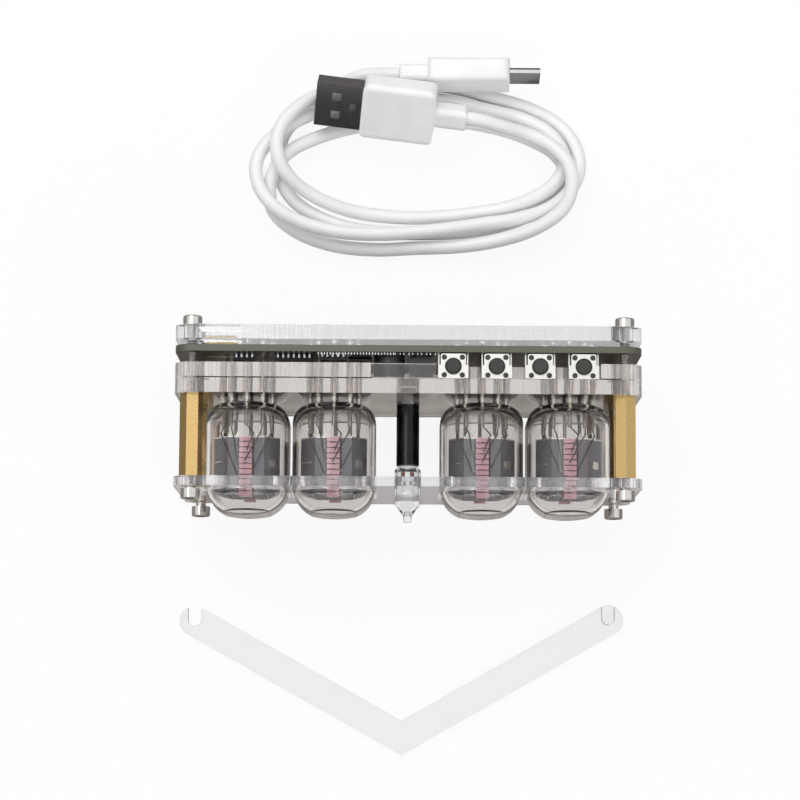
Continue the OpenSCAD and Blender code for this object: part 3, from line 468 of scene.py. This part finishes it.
def threadedSteel(name):
    # Nickel-plated steel screws along Y: bright turned heads, and rolled threads between the outer plates
    material = newMaterial(name)
    tree = material.node_tree
    marks = grain(tree, 0.4, (1, 3, 1))
    turns = addNode(tree, "ShaderNodeMath",
                    {"operation": "MULTIPLY", 1: 2 * math.pi / (screws["pitch"] * mm)}, {0: along(tree, "Y")})
    wave = addNode(tree, "ShaderNodeMath", {"operation": "SINE"}, {0: turns.outputs[0]})
    shank = within(tree, "Y", stack["frontFace"] - screws["frontStop"],
                   stack["backFace"] - screws["backStop"])
    ridge = addNode(tree, "ShaderNodeMath", {"operation": "MULTIPLY"}, {0: wave.outputs[0], 1: shank})
    bump = addNode(tree, "ShaderNodeBump", {"Strength": 1.0, "Distance": screws["depth"] * mm},
                   {"Height": ridge.outputs[0]})
    rough = addNode(tree, "ShaderNodeMapRange", {**noiseSpan, "To Min": 0.06, "To Max": 0.16},
                    {"Value": marks})
    surface(tree, {"Metallic": 1.0}, {"Base Color": tintedBy(tree, marks, "#C6C4C1", "#E2E0DD"),
                                      "Roughness": rough.outputs[0], "Normal": bump.outputs[0]})
    return material


def moulded(name, darkHex, lightHex, roughLow, roughHigh, sizeMm=0.3, depthMm=0.01, scatter=0.0, ior=1.46,
            patch=25):
    # Moulded plastic, rubber or fired clay: a fine eroded skin, and tones in patches some grains wide
    material = newMaterial(name)
    tree = material.node_tree
    skin = grain(tree, sizeMm)
    rough = addNode(tree, "ShaderNodeMapRange", {**noiseSpan, "To Min": roughLow, "To Max": roughHigh},
                    {"Value": skin})
    bump = addNode(tree, "ShaderNodeBump", {"Strength": 0.4, "Distance": depthMm * mm}, {"Height": skin})
    surface(tree, {"IOR": ior, "Subsurface Weight": scatter, "Subsurface Scale": 0.8 * mm},
            {"Base Color": tintedBy(tree, grain(tree, sizeMm * patch, detail=1.0), darkHex, lightHex),
             "Roughness": rough.outputs[0], "Normal": bump.outputs[0]})
    return material


def fr4Board():
    # FR4 laminate: black lacquer on the faces, bare olive glass fibre along the routed edge
    material = newMaterial("fr4Board")
    tree = material.node_tree
    fibre = grain(tree, 0.25, (1, 3, 1))
    onFace = addNode(tree, "ShaderNodeMath", {"operation": "GREATER_THAN", 1: 0.5}, {0: squareTo(tree, "Y")})
    tone = addNode(tree, "ShaderNodeMix", {"data_type": "RGBA"},
                   {0: onFace.outputs[0], 6: tintedBy(tree, fibre, "#42463A", "#606453"),
                    7: tintedBy(tree, grain(tree, 2), "#0E0F10", "#1A1B1C")})
    bump = addNode(tree, "ShaderNodeBump", {"Strength": 0.5, "Distance": 0.02 * mm}, {"Height": fibre})
    surface(tree, {"Roughness": 0.35, "IOR": 1.5},
            {"Base Color": tone.outputs[2], "Normal": bump.outputs[0]})
    return material


def twoMetals(name, share, first, second):
    # share: 0 for the first finish, 1 for the second; each is (darkHex, lightHex, roughness, metallic)
    material = newMaterial(name)
    tree = material.node_tree
    marks = grain(tree, 0.4)
    picked = share(tree)
    tone = addNode(tree, "ShaderNodeMix", {"data_type": "RGBA"},
                   {0: picked, 6: tintedBy(tree, marks, *first[:2]), 7: tintedBy(tree, marks, *second[:2])})
    rough = addNode(tree, "ShaderNodeMapRange", {"To Min": first[2], "To Max": second[2]}, {"Value": picked})
    metal = addNode(tree, "ShaderNodeMapRange", {"To Min": first[3], "To Max": second[3]}, {"Value": picked})
    bump = addNode(tree, "ShaderNodeBump", {"Strength": 0.4, "Distance": 0.01 * mm}, {"Height": marks})
    surface(tree, {}, {"Base Color": tone.outputs[2], "Roughness": rough.outputs[0],
                       "Metallic": metal.outputs[0], "Normal": bump.outputs[0]})
    return material


# The tubes' metal, in millimetres: the tabs from tabFront to tabDepth behind the shield's back, between two
# heights; the glass base, baseThick deep; the pins' ends inside it, down to innerEnds, and how bright they
# are; and the width of the painted highlight along the shield's back edge
tubeParts = dict(tabFront=-21, tabDepth=1.5, tabLow=31.4, tabHigh=34.4, baseThick=1.6, innerEnds=6.6,
                 innerShare=0.4, shieldHighlightBand=0.35)


def brightPinParts(tree):
    # 1: pins behind and in the glass base, and tabs and lugs on the shield; innerShare: the pins' inner
    # ends; 0: the wires
    tabs = addNode(tree, "ShaderNodeMath", {"operation": "MULTIPLY"},
                   {0: within(tree, "Y", tubeParts["tabFront"], stack["shieldBack"] + tubeParts["tabDepth"]),
                    1: within(tree, "Z", tubeParts["tabLow"], tubeParts["tabHigh"])})
    baseFront = stack["glassBack"] - tubeParts["baseThick"]
    inner = addNode(tree, "ShaderNodeMath", {"operation": "MULTIPLY", 1: tubeParts["innerShare"]},
                    {0: within(tree, "Y", stack["glassBack"] - tubeParts["innerEnds"], baseFront)})
    outer = addNode(tree, "ShaderNodeMath", {"operation": "MAXIMUM"},
                    {0: inner.outputs[0], 1: within(tree, "Y", baseFront, stack["backFace"])})
    return addNode(tree, "ShaderNodeMath", {"operation": "MAXIMUM"},
                   {0: tabs.outputs[0], 1: outer.outputs[0]}).outputs[0]


def shieldHighlightBand(tree):
    # 1 along the shield's back edge, where a painted highlight stands for the light that the edge catches
    return within(tree, "Y", stack["shieldBack"], stack["shieldBack"] + tubeParts["shieldHighlightBand"])


# The two rows of chips: each has its middle's height, and one chip, between two places along X, that
# stands higher by the last number; the legs begin legsFrom away from a chip's middle
chipRows = dict(rows=((-21.5, -14.9, 39.2, 1.8), (-5.3, 5.3, 6.8, 1.2)), legsFrom=2.02)


def chipLegs(tree):
    # 1 on the legs: what lies more than legsFrom above or below the middle of its own chip
    away = []
    for low, high, middle, step in chipRows["rows"]:
        raised = addNode(tree, "ShaderNodeMath", {"operation": "MULTIPLY_ADD", 1: step * mm, 2: middle * mm},
                         {0: within(tree, "X", low, high)})
        gap = addNode(tree, "ShaderNodeMath", {"operation": "SUBTRACT"},
                      {0: along(tree, "Z"), 1: raised.outputs[0]})
        away.append(addNode(tree, "ShaderNodeMath", {"operation": "ABSOLUTE"}, {0: gap.outputs[0]}).outputs[0])
    nearest = addNode(tree, "ShaderNodeMath", {"operation": "MINIMUM"}, {0: away[0], 1: away[1]})
    return addNode(tree, "ShaderNodeMath", {"operation": "GREATER_THAN", 1: chipRows["legsFrom"] * mm},
                   {0: nearest.outputs[0]}).outputs[0]


# Tones run from dark to light and roughness from low to high over each grain
finishes = {
    # Cast PMMA sheet: brightest at the back, warm grey in the middle with milky edges on the spacer, cool
    # and thin in front; the strip is the clearest, and the stand lies flat, so its faces look along Z
    "backAcrylic": castAcrylic("castAcrylicBack", "#F9F9F8", "#F6F5F5", 0.10, 0.03, 0.12),
    "greyAcrylic": castAcrylic("castAcrylicMiddle", "#F0ECE8", "#EEE8E4", 0.14, 0.035, 0.2),
    "milkyAcrylic": castAcrylic("castAcrylicSpacer", "#F0ECE8", "#F2EDE9", 0.32, 0.04, 0.22),
    "stripAcrylic": castAcrylic("castAcrylicStrip", "#F2F0EE", "#EDEAE8", 0.02, 0.02, 0.02),
    "frontAcrylic": castAcrylic("castAcrylicFront", "#F6F5F7", "#F8F7F8", 0.06, 0.03, 0.2),
    "standAcrylic": castAcrylic("castAcrylicStand", "#F5F5F5", "#EFEFEF", 0.15, 0.12, 0.15, "Z"),
    # Blown soda-lime glass: faintly smoky bulbs, and a clearer lamp
    "tubeGlass": blownGlass("blownTubeGlass", "#EBE8E6"),
    "lampGlass": blownGlass("blownLampGlass", "#F6F6F6"),
    # FR4 laminate: black lacquer with an olive edge
    "board": fr4Board(),
    # Brass, turned: satin and pale, with marks round the bars
    "brass": bareMetal("turnedBrass", "#C6A56C", "#D6B981", 0.24, 0.34, (1, 8, 1), 0.5),
    # Nickel-plated steel: bright heads and rolled threads
    "nickel": threadedSteel("nickelPlatedSteel"),
    # Tinned sheet steel, pressed: pale and satin
    "tin": bareMetal("tinnedSteel", "#B9B8B3", "#CCCBC6", 0.3, 0.42, (1, 1, 6), 0.3),
    # Tin solder, set from the melt: bright, with duller patches
    "solder": bareMetal("tinSolder", "#A9ACB0", "#D6D8DA", 0.18, 0.4),
    # Drawn lead wires, dark from the heat, and bright tinned pins and tabs
    "pins": twoMetals("leadWireAndTin", brightPinParts,
                      ("#1E1B1A", "#4A4643", 0.4, 0.7), ("#DAD5CA", "#F4F0E6", 0.2, 0.7)),
    # Moulded epoxy bodies, matt black, and bright tinned legs
    "chips": twoMetals("epoxyAndTinnedLegs", chipLegs,
                       ("#19191B", "#262628", 0.6, 0.0), ("#C4C6C8", "#F0F1F2", 0.25, 1.0)),
    # Sheet nickel, oxidised: dull blue-grey, with a painted highlight along its back edge
    "shield": twoMetals("oxidisedSheetNickel", shieldHighlightBand,
                        ("#70727B", "#80828B", 0.42, 0.5), ("#D8D8D6", "#F0F0EE", 0.3, 0.9)),
    # Stamped sheet nickel, darkened in use
    "digits": bareMetal("stampedNickel", "#3B3634", "#6A6460", 0.35, 0.5),
    # Etched nickel net: a plain light grey
    "net": bareMetal("etchedNickelNet", "#9A9CA2", "#C4C6CA", 0.25, 0.4),
    # Folded sheet steel of the plugs: smooth, with rolling marks across
    "shell": bareMetal("foldedSteelShell", "#77777A", "#9C9C9E", 0.14, 0.26, (6, 1, 1), 0.3),
    # Tinned steel of the charging socket: a warm tint
    "goldTin": bareMetal("warmTinnedSteel", "#7E6E52", "#B8A472", 0.25, 0.4),
    # Epoxy glaze on the chip resistors: black with a soft gloss
    "epoxy": moulded("blackEpoxyGlaze", "#17171A", "#242428", 0.25, 0.4),
    # Coated steel electrodes: red-brown and dull
    "electrode": bareMetal("coatedElectrode", "#5E3428", "#93604C", 0.4, 0.6),
    # Unglazed fired ceramic: matt pink
    "ceramic": moulded("unglazedPinkCeramic", "#DCA0B6", "#F0C6D2", 0.6, 0.8, 0.4, 0.02),
    # Lacquered coil and can: near black with a soft gloss
    "coil": moulded("lacqueredPowerPart", "#1F1F22", "#34343A", 0.25, 0.4),
    # Shrunk polyolefin: black and slightly wavy; its IOR is below the real 1.5 to keep the gloss faint
    "sleeve": moulded("shrunkPolyolefin", "#0A0A0C", "#121214", 0.1, 0.2, 2.0, 0.02, 0.0, 1.36),
    # Moulded nylon: warm black and matt
    "blackNylon": moulded("mouldedBlackNylon", "#1F1D1B", "#33312E", 0.4, 0.6),
    # Soft PVC, extruded for the cord and moulded for the grips: white, satin, and light sinks into it
    "whitePvc": moulded("softWhitePvc", "#EEEEEE", "#F5F5F5", 0.3, 0.42, 0.5, 0.01, 0.1),
    "whiteGrip": moulded("mouldedWhitePvc", "#F0F0F0", "#F8F8F8", 0.32, 0.44, 0.3, 0.01, 0.1),
    # Moulded nylon of the plug's tongue: a duller white
    "whiteTongue": moulded("mouldedWhiteNylon", "#DEDEDC", "#EAEAE8", 0.4, 0.5),
}
worn = {
    "back_plate": "backAcrylic", "spacer_plate": "milkyAcrylic", "mid_plate": "greyAcrylic",
    "front_plate": "frontAcrylic", "stand": "standAcrylic", "stand_knockout": "standAcrylic",
    "circuit_board": "board", "solder_joints": "solder", "driver_chips": "chips", "power_parts": "coil",
    "usb_socket": "goldTin", "standoffs": "brass", "front_screws": "nickel", "back_screws": "nickel",
    "lamp_glass": "lampGlass", "lamp_electrodes": "electrode", "lamp_sleeve": "sleeve",
    "switch_frames": "tin", "switch_housings": "blackNylon", "usb_a_shell": "shell", "micro_shell": "shell",
    "usb_a_tongue": "whiteTongue", "usb_a_mould": "whiteGrip", "micro_mould": "whiteGrip",
    "cord": "whitePvc",
}
for i in range(1, 5):
    worn[f"button_{i}"] = "blackNylon"
    for part, finish in (("glass", "tubeGlass"), ("pins", "pins"), ("shield", "shield"),
                         ("digits", "digits"), ("spacers", "ceramic"), ("mesh", "net")):
        worn[f"tube_{i}_{part}"] = finish
for name, finish in worn.items():
    wear(nodes[name], finishes[finish])
wear(cordPiece, finishes["whitePvc"])
for piece, finish, _ in added:
    wear(piece, finishes[finish])
print("materials on", len(worn), "nodes")
